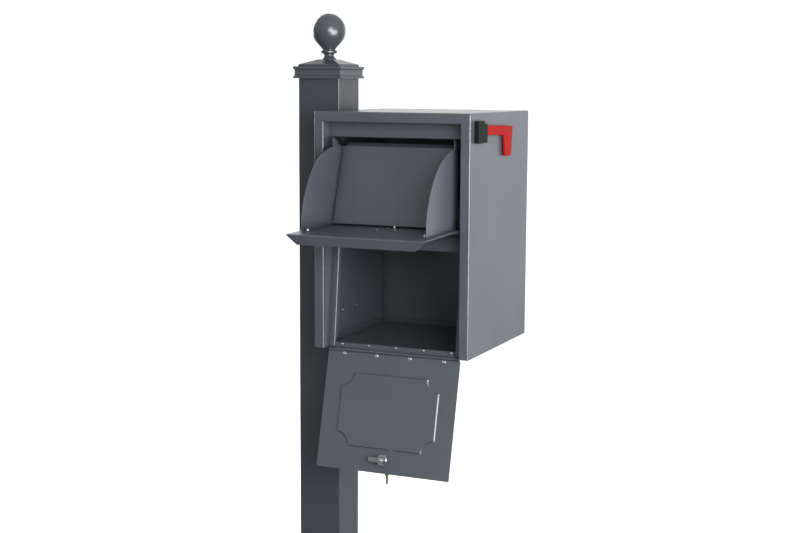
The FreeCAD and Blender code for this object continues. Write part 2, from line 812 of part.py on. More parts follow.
def tray_stud():
    """Capped screw on the tray, held by a nut below it."""
    face = -Sheet.tray_offset
    x, y = TRAY_STUD
    post = rod(3.4, 4.6, (x, y, face))
    tip = dome(3.4, 2.0, (x, y, face + 4.6))
    shank = rod(2.5, 7.5, (x, y, face), "-z")
    node("tray_stud", fuse(post, tip, shank), HOPPER)
    nut = cut(hexagon(8, 3.2, (x, y, face - gauge), "-z"), rod(2.5, 6, (x, y, face - gauge - 4)))
    node("tray_stud_nut", nut, HOPPER)


def hopper_baffle():
    """Leaning back of the hopper, with a flange along each cheek and a top edge bent backwards."""
    half = Sheet.cheek_spread / 2 - Sheet.cheek_gauge
    thick = Sheet.cheek_gauge
    tall = Sheet.baffle_tall
    web = block((-half, 0, 0), (half, thick, tall))
    left = block((-half, 0, 6), (-half + thick, 11, tall - 12))
    right = block((half - thick, 0, 6), (half, 11, tall - 12))
    folded = rounded(
        fuse(web, left, right), 1.9,
        lambda edge: runs_along(edge, Z) and near(edge.CenterOfMass.y, 0),
    )
    top_edge = [(0, tall), (9.2, tall + 10.2), (10.1, tall + 9.4), (thick, tall - 0.5)]
    top_half = half - 8
    hem = pressing("YZ", top_edge, -top_half, top_half * 2)
    leaning = put(group(fuse(folded, hem)), (0, -Sheet.baffle_lead, -2.3), X, -Sheet.baffle_lean)
    node("hopper_baffle", leaning, HOPPER)


def hopper_rod():
    """The rod that the hopper turns on, with its spacers and push-on retainers."""
    end = 17.0
    radius = Sheet.rod_radius
    start = (box_left + end, hopper_pin_y, hopper_pin_z)
    node("hopper_rod", rod(radius, Sheet.box_width - 2 * end, start, "+x"))
    gap = (Sheet.box_width - Sheet.cheek_spread) / 2 - Sheet.frame_width
    spacers = []
    retainers = []
    for edge, along in ((box_left + Sheet.frame_width, "+x"), (box_right - Sheet.frame_width, "-x")):
        place = (edge, hopper_pin_y, hopper_pin_z)
        sleeve = rod(5.5, gap - 0.5, place, along)
        spacers.append(cut(sleeve, rod(radius, gap + 2, place, along)))
    for edge, along in ((box_left + 19, "+x"), (box_right - 19, "-x")):
        place = (edge, hopper_pin_y, hopper_pin_z)
        retainers.append(cut(rod(7.5, 1.2, place, along), rod(radius, 3, place, along)))
    node("rod_spacers", group(*spacers))
    node("rod_push_nuts", group(*retainers))


# ---------------------------------------------------------------- retrieval door and its hinge

KNUCKLES = 13
KNUCKLE_GAP = 0.35
LEAF_LOW = 2.75
SMALL_RIVET_RADIUS = 1.6
small_rivet_z = box_floor + 7.8


def small_rivet_places():
    """The hinge's fixed leaf is punched at a regular pitch that starts near its left end."""
    return [box_left + 55.4 + 63.9 * count for count in range(5)]


def knuckle_spans(odd):
    """Start and end, along the hinge, of every second knuckle."""
    pitch = Sheet.hinge_length / KNUCKLES
    start = -Sheet.hinge_length / 2
    return [
        (start + pitch * count + KNUCKLE_GAP / 2, start + pitch * (count + 1) - KNUCKLE_GAP / 2)
        for count in range(KNUCKLES)
        if count % 2 == odd
    ]


def hinge_leaf(odd, face, strip_low, strip_high):
    """A leaf of the piano hinge: a strip, tabs and knuckles, bored for the pin. face is -1 or 1."""
    radius = Sheet.knuckle_radius
    leaf_y = sorted((radius * face, (radius - Sheet.leaf_gauge) * face), key=lambda place: place.number)
    half = Sheet.hinge_length / 2
    pieces = [block((-half, leaf_y[0], strip_low), (half, leaf_y[1], strip_high))]
    for start, end in knuckle_spans(odd):
        pieces.append(block((start, leaf_y[0], 0), (end, leaf_y[1], strip_low)))
        pieces.append(rod(radius, end - start, (start, 0, 0), "+x"))
    bore = rod(Sheet.pin_radius + Sheet.running_gap, Sheet.hinge_length + 2, (-half - 1, 0, 0), "+x")
    return cut(fuse(*pieces), bore)


def retrieval_hinge():
    fixed = hinge_leaf(0, 1, LEAF_LOW, Sheet.door_hinge_drop + 11.3)
    rivet_z = small_rivet_z - door_pin_z
    holes = [rod(SMALL_RIVET_RADIUS, 6, (x - box_mid, 0, rivet_z), "+y") for x in small_rivet_places()]
    jamb_notches = [block((start, 0, 5), (start + 20, 6, 20)) for start in (-159, 139)]
    node("hinge_fixed_leaf", cut(fixed, *holes, *jamb_notches), (box_mid, door_pin_y, door_pin_z, 0))
    leaf_face = pan_front - Sheet.leaf_gauge
    rivets = [
        fuse(
            dome(2.6, 0.8, (x, leaf_face, small_rivet_z), "-y"),
            rod(SMALL_RIVET_RADIUS, Sheet.leaf_gauge + gauge + 1, (x, leaf_face, small_rivet_z), "+y"),
            rod(2.6, 1.2, (x, pan_front + gauge, small_rivet_z), "+y"),
        )
        for x in small_rivet_places()
    ]
    node("hinge_rivets", group(*rivets))
    half = Sheet.hinge_length / 2
    pin = rod(Sheet.pin_radius, Sheet.hinge_length, (box_mid - half, door_pin_y, door_pin_z), "+x")
    node("hinge_pin", pin)
    moving = hinge_leaf(1, -1, LEAF_LOW, 17)
    holes = [rod(DOOR_RIVET_RADIUS, 6, (x, -5, DOOR_RIVET_HEIGHT), "+y") for x in DOOR_RIVET_PLACES]
    node("hinge_door_leaf", cut(moving, *holes), DOOR_OPEN)


DOOR_RIVET_RADIUS = 2.4
DOOR_RIVET_HEIGHT = 8.0
DOOR_RIVET_PLACES = (-116.5, -38.8, 38.8, 116.5)
DOOR_FOOT = 3.6
door_inner = -0.2
door_outer = door_inner - Sheet.door_gauge


def scalloped_block(inset, y_low, y_high, chamfered, chamfer):
    """A rectangle with a concave round bite at each corner, and one face chamfered all round."""
    half = Sheet.panel_width / 2 - inset
    low = Sheet.panel_low + inset
    high = low + Sheet.panel_tall - inset * 2
    plate = block((-half, y_low, low), (half, y_high, high))
    bite = Sheet.scallop_radius - inset * 0.4
    bites = [rod(bite, 8, (x, -5, z), "+y") for x in (-half, half) for z in (low, high)]
    plate = cut(plate, *bites)
    return rounded(plate, chamfer, lambda edge: on_plane(edge, chamfered), "Part::Chamfer")


def on_plane(edge, y):
    """Whether a whole edge lies at one y."""
    return all(near(vertex.Y, y) for vertex in edge.Vertexes)


def retrieval_door():
    half = Sheet.door_width / 2
    slab = block((-half, door_outer, DOOR_FOOT), (half, door_inner, DOOR_FOOT + Sheet.door_tall))
    slab = rounded(slab, 2, lambda edge: runs_along(edge, Y))
    rise = Sheet.emboss
    raised = scalloped_block(0, door_inner - 1, door_inner + rise, door_inner + rise, rise.number - 0.05)
    hollow = scalloped_block(1.2, door_outer - 1, door_outer + rise, door_outer + rise, rise.number - 0.05)
    holes = [rod(DOOR_RIVET_RADIUS, 8, (x, -5, DOOR_RIVET_HEIGHT), "+y") for x in DOOR_RIVET_PLACES]
    lock_hole = rod(Sheet.lock_radius + 0.1, 8, (0, -5, Sheet.lock_height), "+y")
    node("retrieval_door", cut(fuse(slab, raised), hollow, lock_hole, *holes), DOOR_OPEN)
    leaf_back = door_outer - Sheet.leaf_gauge
    grip = Sheet.door_gauge + Sheet.leaf_gauge
    rivets = [
        fuse(
            dome(4.2, 1.0, (x, door_inner, DOOR_RIVET_HEIGHT), "+y"),
            rod(DOOR_RIVET_RADIUS, grip + 0.5, (x, door_inner, DOOR_RIVET_HEIGHT), "-y"),
            rod(3.8, 1.0, (x, leaf_back, DOOR_RIVET_HEIGHT), "-y"),
        )
        for x in DOOR_RIVET_PLACES
    ]
    node("door_rivets", group(*rivets), DOOR_OPEN)


# ---------------------------------------------------------------- lock and keys

PLUG_RADIUS = 6.8
CAM_FACE = 8.0
CAM_THICK = 2.0
lock_face = door_outer - 2.5
keyway_half = (1.15, 4.1)


def lock_parts():
    """Cam lock: a fixed housing held by a nut, and a plug that turns the cam."""
    height = Sheet.lock_height
    axis_low = (0, lock_face, height)
    flange = rounded(
        rod(11.5, 2.5, axis_low, "+y"), 1.2,
        lambda edge: near(edge.CenterOfMass.y, lock_face),
    )
    barrel = rod(Sheet.lock_radius, 10.4, axis_low, "+y")
    plug_bore = rod(PLUG_RADIUS + Sheet.running_gap, 20, (0, lock_face - 2, height), "+y")
    node("lock_housing", cut(fuse(flange, barrel), plug_bore), DOOR_OPEN)
    nut_length = 3.4
    nut = rounded(
        hexagon(23, nut_length, (0, door_inner, height), "+y"), 0.8,
        lambda edge: near(edge.CenterOfMass.y, door_inner + nut_length),
    )
    node("lock_nut", cut(nut, rod(Sheet.lock_radius, 8, (0, door_inner - 2, height), "+y")), DOOR_OPEN)

    plug_length = CAM_FACE - lock_face
    plug = rod(PLUG_RADIUS, plug_length, axis_low, "+y")
    tail = block((-3, CAM_FACE - 1, height - 3), (3, CAM_FACE + CAM_THICK, height + 3))
    keyway = block(
        (-keyway_half[0], lock_face - 1, height - keyway_half[1]),
        (keyway_half[0], CAM_FACE - 3, height + keyway_half[1]),
    )
    screw_hole = rod(1.8, 8, (0, CAM_FACE - 4, height), "+y")
    node("lock_plug", cut(fuse(plug, tail), keyway, screw_hole), DOOR_OPEN)


def lock_cam():
    """Cam with a hooked end that catches behind the mid rail; at rest it points sideways."""
    height = Sheet.lock_height
    reach = Sheet.cam_reach
    top = CAM_FACE + CAM_THICK
    hub = rod(8.4, CAM_THICK, (0, CAM_FACE, height), "+y")
    arm = block((-reach, CAM_FACE, height - 5), (0, top, height + 5))
    hook = block((-reach, 4.4, height - 5), (-reach + CAM_THICK, CAM_FACE, height + 5))

    def is_hook_corner(edge):
        middle = edge.CenterOfMass
        return runs_along(edge, Z) and near(middle.x, -reach) and near(middle.y, top)

    cam = rounded(fuse(hub, arm, hook), 1.4, is_hook_corner)
    square = block((-3, CAM_FACE - 1, height - 3), (3, top + 1, height + 3))
    node("lock_cam", cut(cam, square), DOOR_OPEN)
    washer = rod(5.2, 0.8, (0, top, height), "+y")
    head = hexagon(7, 2.8, (0, top + 0.8, height), "+y")
    crown = dome(3.2, 0.9, (0, top + 3.6, height), "+y")
    shank = rod(1.8, 4.6, (0, top, height), "-y")
    node("cam_screw", fuse(washer, head, crown, shank), DOOR_OPEN)


def key_blank(blade_from, bow_centre, blade_tip, bow_radius, hole_at, half_blade, shoulder):
    """A flat key along Z: bow with a ring hole, shoulders and a pointed blade. It is 1.9 thick."""
    thick = 1.9
    bow = rod(bow_radius, thick, (-thick / 2, 0, bow_centre), "+x")
    outline = [
        (-shoulder, bow_centre), (-shoulder, blade_from), (-half_blade, blade_from),
        (-half_blade, blade_tip + 3), (0, blade_tip), (half_blade * 0.4, blade_tip + 3.5),
        (half_blade, blade_tip + 5), (half_blade, blade_from), (shoulder, blade_from),
        (shoulder, bow_centre),
    ]
    blade = pressing("YZ", outline, -thick / 2, thick)
    hole = rod(2.5, 4, (-2, 0, hole_at), "+x")
    return cut(fuse(bow, blade), hole)


def keys():
    """The key in the lock, the ring through its bow and the spare key that hangs from the ring."""
    key = key_blank(
        blade_from=0.2, bow_centre=13, blade_tip=-9, bow_radius=11,
        hole_at=Sheet.key_reach + lock_face, half_blade=3.7, shoulder=5,
    )
    key = put(group(key), (0, lock_face, Sheet.lock_height), X, 90)
    node("key", key, DOOR_OPEN)

    hang = Sheet.door_hang
    out = -Sheet.key_reach
    up = Sheet.lock_height
    hole_y = door_pin_y - out * cosine(hang) - up * sine(hang)
    hole_z = door_pin_z + out * sine(hang) - up * cosine(hang)
    ring = doc.addObject("Part::Torus", "Ring")
    bind(ring, Radius1=Sheet.ring_radius)
    ring.Radius2 = 0.8
    node("key_ring", put(ring, (box_mid, hole_y, hole_z - Sheet.ring_radius), X, 90))
    spare = key_blank(
        blade_from=-22, bow_centre=-8, blade_tip=-38, bow_radius=11,
        hole_at=0, half_blade=3.7, shoulder=5.6,
    )
    node("spare_key", put(group(spare), (box_mid, hole_y, hole_z - Sheet.ring_radius * 2)))


# ---------------------------------------------------------------- signal flag

FLAG_SLOT = (2.0, 7.4)
FLAG_SLOT_DEEP = 11.7
FLAG_SCREW_PLACES = [(box_front + 28.6, box_top - 39), (box_front + 58, box_top - 56.4)]


def flag_bracket():
    """Moulded block on the side wall, slotted to the rear and the top for the flag's arm."""
    low_y = box_front + 23.2
    high_y = low_y + Sheet.flag_block_long
    high_z = box_top - 15.7
    low_z = high_z - Sheet.flag_block_side
    body = block((box_right, low_y, low_z), (box_right + Sheet.flag_block_thick, high_y, high_z))
    step = block((box_right - 1, high_y - 17, high_z - 6), (box_right + 20, high_y + 1, high_z + 1))
    body = rounded(cut(body, step), 1.0, on_outer_face)
    slot = block(
        (box_right + FLAG_SLOT[0], flag_pin_y - FLAG_SLOT_DEEP, flag_pin_z - FLAG_SLOT_DEEP),
        (box_right + FLAG_SLOT[1], high_y + 1, high_z + 1),
    )
    pin_hole = rod(3, 20, (box_right - 1, flag_pin_y, flag_pin_z), "+x")
    screw_holes = [rod(2.2, 6.5, (box_right - 1, y, z), "+x") for y, z in FLAG_SCREW_PLACES]
    node("flag_bracket", cut(body, slot, pin_hole, *screw_holes))
    node("flag_pivot", rod(3, Sheet.flag_block_thick, (box_right, flag_pin_y, flag_pin_z), "+x"))
    inside = box_right - gauge
    screws = [
        fuse(dome(4.2, 2.4, (inside, y, z), "-x"), rod(2.2, 7, (inside, y, z), "+x"))
        for y, z in FLAG_SCREW_PLACES
    ]
    node("flag_screws", group(*screws))


def on_outer_face(edge):
    return all(near(vertex.X, box_right + Sheet.flag_block_thick) for vertex in edge.Vertexes)


def flag():
    """Arm with a banner that hangs from its end while the flag is down."""
    start = FLAG_SLOT[0] + 0.4
    arm_half = Sheet.flag_arm / 2
    thick = Sheet.flag_gauge
    reach = Sheet.flag_reach
    crook = reach - Sheet.flag_banner_long
    tip = arm_half - Sheet.flag_banner_tall
    outline = [
        (0, -arm_half), (crook, -arm_half), (crook + Sheet.flag_taper, tip),
        (reach - Sheet.flag_taper, tip), (reach, arm_half), (0, arm_half),
    ]
    plate = pressing("YZ", outline, start, thick)
    plate = rounded(plate, 8, lambda edge: runs_along(edge, X) and near(edge.CenterOfMass.z, tip))
    plate = rounded(plate, 4, lambda edge: runs_along(edge, X) and near(edge.CenterOfMass.y, reach))
    root = rod(arm_half, thick, (start, 0, 0), "+x")
    plate = fuse(plate, root)
    plate = rounded(plate, 1.0, lambda edge: all(near(vertex.X, start + thick) for vertex in edge.Vertexes))
    hole = rod(3 + Sheet.running_gap, thick + 2, (start - 1, 0, 0), "+x")
    node("flag", cut(plate, hole), FLAG)


# ---------------------------------------------------------------- the whole object

base_plate()
foot_weld()
post_tube()
box_bolts()
post_cap()
ball_finial()
housing_wrap()
rear_panel()
floor_pan()
header_panel()
mid_rail()
jamb("left_jamb", -1)
jamb("right_jamb", 1)
hopper_rod()
cheek("left_cheek", -1)
cheek("right_cheek", 1)
cheek_cap_nuts()
hopper_tray()
tray_stud()
hopper_baffle()
retrieval_hinge()
retrieval_door()
lock_parts()
lock_cam()
keys()
flag_bracket()
flag()

doc.recompute()

for item in doc.Objects:
    if "Invalid" in item.State or "Error" in item.State:
        raise RuntimeError(f"{item.Name} ({item.Label}) failed: {item.State}")
for piece in nodes:
    if piece.Shape.isNull() or not piece.Shape.isValid() or not piece.Shape.Solids:
        raise RuntimeError(f"{piece.Label} has no valid solid")

os.makedirs("parts", exist_ok=True)
for piece in nodes:
    piece.Shape.exportStep(f"parts/{piece.Label}.step")
    box = piece.Shape.BoundBox
    print(
        f"{piece.Label:18s} solids {len(piece.Shape.Solids):2d}  volume {piece.Shape.Volume:10.0f}"
        f"  x {box.XMin:7.1f} {box.XMax:7.1f}  y {box.YMin:7.1f} {box.YMax:7.1f}"
        f"  z {box.ZMin:7.1f} {box.ZMax:7.1f}"
    )
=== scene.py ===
"""The look of the side-post mailbox: paint, metals, plastics, a floor, studio light and the camera.

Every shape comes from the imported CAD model. Metres.
"""
import json
import math

import bpy
from mathutils import Matrix, Vector

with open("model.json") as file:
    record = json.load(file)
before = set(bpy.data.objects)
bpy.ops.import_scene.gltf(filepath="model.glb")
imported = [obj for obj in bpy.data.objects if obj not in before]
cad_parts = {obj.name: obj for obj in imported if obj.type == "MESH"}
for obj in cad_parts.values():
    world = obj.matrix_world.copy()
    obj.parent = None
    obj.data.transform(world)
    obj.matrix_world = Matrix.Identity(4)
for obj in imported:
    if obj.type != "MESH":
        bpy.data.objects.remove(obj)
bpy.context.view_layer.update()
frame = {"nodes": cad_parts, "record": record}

nodes = frame["nodes"]
slot_of = {part["node"]: part["material_slot"] for part in frame["record"]["subparts"]}

# ---------------------------------------------------------------- shader building blocks


BEVEL_SAMPLES = 6
OCCLUSION_SAMPLES = 6


def set_range(remap, low, high, to_low, to_high):
    """Sets a Map Range node to turn low..high into to_low..to_high."""
    remap.inputs["From Min"].default_value = low
    remap.inputs["From Max"].default_value = high
    remap.inputs["To Min"].default_value = to_low
    remap.inputs["To Max"].default_value = to_high


class Graph:
    """A material's node tree, with one short call for each kind of node."""

    def __init__(self, name):
        self.material = bpy.data.materials.new(name)
        self.material.use_nodes = True
        self.tree = self.material.node_tree
        self.tree.nodes.clear()
        self.output = self.tree.nodes.new("ShaderNodeOutputMaterial")
        self.shader = self.tree.nodes.new("ShaderNodeBsdfPrincipled")
        self.link(self.shader.outputs["BSDF"], self.output.inputs["Surface"])
        self.place = self.tree.nodes.new("ShaderNodeTexCoord").outputs["Object"]
        self.geometry = self.tree.nodes.new("ShaderNodeNewGeometry")

    def link(self, source, target):
        self.tree.links.new(source, target)

    def feed(self, socket, value):
        """Links an output to a socket, or sets a plain value on it."""
        if isinstance(value, bpy.types.NodeSocket):
            self.link(value, socket)
        else:
            socket.default_value = value

    def stretched(self, scale):
        """Object coordinates stretched by a scale along each axis."""
        mapping = self.tree.nodes.new("ShaderNodeMapping")
        self.link(self.place, mapping.inputs["Vector"])
        mapping.inputs["Scale"].default_value = scale
        return mapping.outputs["Vector"]

    def noise(self, scale, detail=2.0, rough=0.5, vector=None):
        """Smooth noise from 0 to 1. The scale is in features per metre."""
        noise = self.tree.nodes.new("ShaderNodeTexNoise")
        self.link(vector or self.place, noise.inputs["Vector"])
        noise.inputs["Scale"].default_value = scale
        noise.inputs["Detail"].default_value = detail
        noise.inputs["Roughness"].default_value = rough
        return noise.outputs["Fac"]

    def cells(self, scale, output="Distance"):
        """Voronoi cells, for crystals and pits."""
        voronoi = self.tree.nodes.new("ShaderNodeTexVoronoi")
        self.link(self.place, voronoi.inputs["Vector"])
        voronoi.inputs["Scale"].default_value = scale
        return voronoi.outputs[output]

    def spread(self, value, low, high, to_low=0.0, to_high=1.0):
        """Maps low..high of a value onto another range, and clamps it."""
        remap = self.tree.nodes.new("ShaderNodeMapRange")
        self.feed(remap.inputs["Value"], value)
        set_range(remap, low, high, to_low, to_high)
        return remap.outputs["Result"]

    def math(self, operation, first, second):
        """Plain arithmetic on two numbers or outputs."""
        calc = self.tree.nodes.new("ShaderNodeMath")
        calc.operation = operation
        self.feed(calc.inputs[0], first)
        self.feed(calc.inputs[1], second)
        return calc.outputs[0]

    def mixed(self, amount, first, second):
        """Mixes two colours, each a colour or an output, by an amount from 0 to 1."""
        mix = self.tree.nodes.new("ShaderNodeMix")
        mix.data_type = "RGBA"
        self.feed(mix.inputs["Factor"], amount)
        for socket, colour in ((mix.inputs["A"], first), (mix.inputs["B"], second)):
            self.feed(socket, colour if isinstance(colour, bpy.types.NodeSocket) else (*colour, 1.0))
        return mix.outputs["Result"]

    def beveled(self, radius):
        """The surface's direction, as if its sharp edges were rounded to a radius."""
        bevel = self.tree.nodes.new("ShaderNodeBevel")
        bevel.samples = BEVEL_SAMPLES
        bevel.inputs["Radius"].default_value = radius
        return bevel.outputs["Normal"]

    def edges(self, radius):
        """1 on sharp edges and 0 on flat faces, from how far a bevel would turn the surface."""
        dot = self.tree.nodes.new("ShaderNodeVectorMath")
        dot.operation = "DOT_PRODUCT"
        self.link(self.beveled(radius), dot.inputs[0])
        self.link(self.geometry.outputs["Normal"], dot.inputs[1])
        return self.spread(dot.outputs["Value"], 0.995, 0.8)

    def painted_cavity_shade(self, reach):
        """Painted shade mask from ambient occlusion: 1 in the open and towards 0 deep inside gaps, holes
        and corners.
        """
        occlusion = self.tree.nodes.new("ShaderNodeAmbientOcclusion")
        occlusion.samples = OCCLUSION_SAMPLES
        occlusion.inputs["Distance"].default_value = reach
        return self.spread(occlusion.outputs["AO"], 0.25, 0.95)

    def upward(self):
        """1 where the surface faces up, for settled dust."""
        parts = self.tree.nodes.new("ShaderNodeSeparateXYZ")
        self.link(self.geometry.outputs["Normal"], parts.inputs[0])
        return self.spread(parts.outputs["Z"], 0.3, 1.0)

    def bumpy(self, *layers, soft_edge=None):
        """Stacks bump layers, each a (height, strength, depth in metres), over an optional soft edge."""
        normal = self.beveled(soft_edge) if soft_edge else None
        for height, strength, depth in layers:
            bump = self.tree.nodes.new("ShaderNodeBump")
            bump.inputs["Strength"].default_value = strength
            bump.inputs["Distance"].default_value = depth
            self.link(height, bump.inputs["Height"])
            if normal:
                self.link(normal, bump.inputs["Normal"])
            normal = bump.outputs["Normal"]
        self.link(normal, self.shader.inputs["Normal"])

    def finish(self, colour, roughness, metallic=0.0, **constants):
        """Connects the surface. Each constant is set on the shader's own socket."""
        self.link(colour, self.shader.inputs["Base Color"])
        self.feed(self.shader.inputs["Roughness"], roughness)
        self.shader.inputs["Metallic"].default_value = metallic
        for name, value in constants.items():
            self.shader.inputs[name.replace("_", " ").title().replace("Ior", "IOR")].default_value = value
        return self.material


# ---------------------------------------------------------------- materials


PAINT_IOR = 1.65
SETTLED_DUST = 0.08
DUST_GREY = (0.30, 0.29, 0.27)


def tinted(colour, factor):
    return tuple(channel * factor for channel in colour)


def powder_coat(name, colour, gloss, peel=1.0):
    """Satin powder coat: orange peel, fine grain, rubbed edges, a little dust, and painted shade that
    darkens corners and gaps.
    """
    graph = Graph(name)
    cloudy = graph.spread(graph.noise(5.0, detail=3.0), 0.3, 0.7)
    base = graph.mixed(cloudy, tinted(colour, 0.90), tinted(colour, 1.10))
    grain = graph.noise(1400.0, detail=2.0)
    base = graph.mixed(graph.spread(grain, 0.62, 0.80, 0.0, 0.35), base, tinted(colour, 1.35))
    patches = graph.spread(graph.noise(160.0, detail=4.0), 0.35, 0.7)
    worn = graph.math("MULTIPLY", graph.edges(0.0012), patches)
    base = graph.mixed(graph.math("MULTIPLY", worn, 0.35), base, tinted(colour, 1.7))
    drifts = graph.spread(graph.noise(38.0, detail=5.0), 0.4, 0.75)
    settled = graph.math("MULTIPLY", graph.upward(), drifts)
    base = graph.mixed(graph.math("MULTIPLY", settled, SETTLED_DUST), base, DUST_GREY)
    # Painted shade: darkens the paint towards a third of its colour inside gaps, holes and corners.
    base = graph.mixed(graph.painted_cavity_shade(0.02), tinted(colour, 0.35), base)
    smear = graph.noise(9.0, detail=2.0)
    roughness = graph.spread(smear, 0.3, 0.7, gloss - 0.02, gloss + 0.03)
    roughness = graph.math("SUBTRACT", roughness, graph.math("MULTIPLY", worn, 0.08))
    orange_peel = graph.noise(330.0, detail=2.0, rough=0.4)
    graph.bumpy((orange_peel, 0.10 * peel, 0.00025), (grain, 0.06, 0.0001), soft_edge=0.0007)
    return graph.finish(base, roughness, ior=PAINT_IOR)


def zinc_plate(name):
    """Bright zinc on steel: pale crystals, a little white bloom and fine turning marks."""
    graph = Graph(name)
    crystals = graph.cells(900.0, "Color")
    grey = graph.mixed(graph.spread(crystals, 0.0, 1.0), (0.26, 0.27, 0.28), (0.38, 0.39, 0.40))
    bloom = graph.spread(graph.noise(420.0, detail=5.0), 0.55, 0.75)
    tone = graph.mixed(graph.math("MULTIPLY", bloom, 0.35), grey, (0.46, 0.46, 0.45))
    roughness = graph.spread(graph.noise(700.0, detail=3.0), 0.3, 0.7, 0.24, 0.44)
    graph.bumpy((graph.noise(1800.0, detail=2.0), 0.12, 0.0001), soft_edge=0.0003)
    return graph.finish(tone, roughness, metallic=1.0)


def rivet_aluminium(name):
    """Set rivet heads: plain aluminium, scuffed by the tool."""
    graph = Graph(name)
    scuff = graph.noise(1100.0, detail=4.0, vector=graph.stretched((1.0, 1.0, 0.3)))
    tone = graph.mixed(graph.spread(scuff, 0.35, 0.7), (0.50, 0.51, 0.52), (0.74, 0.75, 0.76))
    roughness = graph.spread(scuff, 0.3, 0.7, 0.14, 0.32)
    graph.bumpy((scuff, 0.15, 0.0001), soft_edge=0.0003)
    return graph.finish(tone, roughness, metallic=1.0)


def bright_plating(name):
    """Plated die casting: bright, with hairline scratches and a few pits."""
    graph = Graph(name)
    hairlines = graph.noise(1.0, detail=6.0, vector=graph.stretched((300.0, 300.0, 5000.0)))
    tone = graph.mixed(graph.spread(hairlines, 0.3, 0.7), (0.42, 0.43, 0.45), (0.60, 0.61, 0.63))
    roughness = graph.spread(hairlines, 0.35, 0.7, 0.10, 0.28)
    pits = graph.spread(graph.cells(1300.0), 0.0, 0.25)
    graph.bumpy((pits, 0.06, 0.0001), (hairlines, 0.05, 0.00005), soft_edge=0.0003)
    return graph.finish(tone, roughness, metallic=1.0)


def key_brass(name):
    """Milled key brass, dulled where fingers hold it."""
    graph = Graph(name)
    milling = graph.noise(1.0, detail=3.0, vector=graph.stretched((600.0, 600.0, 3200.0)))
    handled = graph.spread(graph.noise(120.0, detail=4.0), 0.4, 0.7)
    tone = graph.mixed(handled, (0.30, 0.21, 0.10), (0.18, 0.13, 0.07))
    tone = graph.mixed(graph.spread(milling, 0.55, 0.75, 0.0, 0.5), tone, (0.44, 0.33, 0.17))
    roughness = graph.spread(milling, 0.3, 0.7, 0.22, 0.42)
    graph.bumpy((milling, 0.15, 0.00008), soft_edge=0.0002)
    return graph.finish(tone, roughness, metallic=1.0)


def black_plastic(name):
    """Spark-textured black moulding, greyed on its edges."""
    graph = Graph(name)
    texture = graph.noise(1700.0, detail=3.0, rough=0.6)
    weathered = graph.spread(graph.noise(90.0, detail=4.0), 0.35, 0.75)
    tone = graph.mixed(weathered, (0.004, 0.0045, 0.0045), (0.008, 0.0085, 0.008))
    tone = graph.mixed(graph.math("MULTIPLY", graph.edges(0.0008), 0.5), tone, (0.05, 0.05, 0.05))
    roughness = graph.spread(texture, 0.3, 0.7, 0.42, 0.62)
    graph.bumpy((texture, 0.35, 0.00015), soft_edge=0.0004)
    return graph.finish(tone, roughness, specular_ior_level=0.09)


def red_plastic(name):
    """Satin red moulding: faint flow marks, sun-faded patches and paler edges."""
    graph = Graph(name)
    flow = graph.noise(1.0, detail=4.0, vector=graph.stretched((20.0, 8.0, 45.0)))
    tone = graph.mixed(graph.spread(flow, 0.3, 0.7), (0.23, 0.003, 0.0015), (0.28, 0.005, 0.003))
    faded = graph.spread(graph.noise(60.0, detail=5.0), 0.55, 0.85, 0.0, 0.25)
    tone = graph.mixed(faded, tone, (0.30, 0.014, 0.009))
    tone = graph.mixed(graph.math("MULTIPLY", graph.edges(0.0008), 0.3), tone, (0.34, 0.03, 0.02))
    texture = graph.noise(1500.0, detail=2.0)
    roughness = graph.spread(flow, 0.3, 0.7, 0.42, 0.54)
    graph.bumpy((texture, 0.12, 0.0001), soft_edge=0.0005)
    return graph.finish(tone, roughness, specular_ior_level=0.06)


FLOOR_GLOW = {"emission_color": (1.0, 1.0, 1.0, 1.0), "emission_strength": 0.80}


def pale_floor(name):
    """Matt pale studio floor, lit from within so that it stays white."""
    graph = Graph(name)
    tone = graph.mixed(graph.noise(0.8, detail=4.0), (0.86, 0.86, 0.86), (0.90, 0.90, 0.90))
    graph.bumpy((graph.noise(60.0, detail=3.0), 0.05, 0.001))
    roughness = graph.spread(graph.noise(3.0), 0.3, 0.7, 0.75, 0.9)
    return graph.finish(tone, roughness, **FLOOR_GLOW)


# ---------------------------------------------------------------- finishes on the nodes

GRAPHITE = (0.051, 0.058, 0.071)

FINISHES = {
    "post_paint": powder_coat("post_paint_finish", tinted(GRAPHITE, 0.72), gloss=0.30),
    "cap_paint": powder_coat("cap_paint_finish", tinted(GRAPHITE, 0.95), gloss=0.26, peel=1.5),
    "box_paint": powder_coat("box_paint_finish", GRAPHITE, gloss=0.30),
    "hopper_paint": powder_coat("hopper_paint_finish", GRAPHITE, gloss=0.30),
    "door_paint": powder_coat("door_paint_finish", GRAPHITE, gloss=0.30),
    "zinc_steel": zinc_plate("zinc_steel_finish"),
    "rivet_aluminium": rivet_aluminium("rivet_aluminium_finish"),
    "lock_chrome": bright_plating("lock_chrome_finish"),
    "key_brass": key_brass("key_brass_finish"),
    "black_plastic": black_plastic("black_plastic_finish"),
    "red_plastic": red_plastic("red_plastic_finish"),
}

for name, piece in nodes.items():
    for holder in piece.material_slots:
        holder.material = FINISHES[slot_of[name]]

# ---------------------------------------------------------------- studio

# Camera: place in metres, turns in degrees, lens and sensor in millimetres.
CAMERA_PLACE = (1.4443, -2.8621, 1.4075)
CAMERA_YAW = 23.88
CAMERA_DOWN = 7.58
CAMERA_ROLL = 0.29
CAMERA_LENS = 63.5
CAMERA_SENSOR = 36.0
CAMERA_REACH = 100.0

# Floor and wall, in metres.
FLOOR_HALF = 40.0
WALL_RADIUS = 18.0
WALL_TALL = 12.0
WALL_PANELS = 64

# Brightness of the room around the object, as seen in reflections.
ROOM_TINT = (0.98, 0.99, 1.0, 1.0)
ROOM_FRONT = 0.42
ROOM_ABOVE = 0.60
ROOM_BACK = 1.60
ROOM_BELOW = 0.15

# The middle of the box's front, which every light faces.
BOX_FACE = Vector((0.23, -0.17, 1.0))


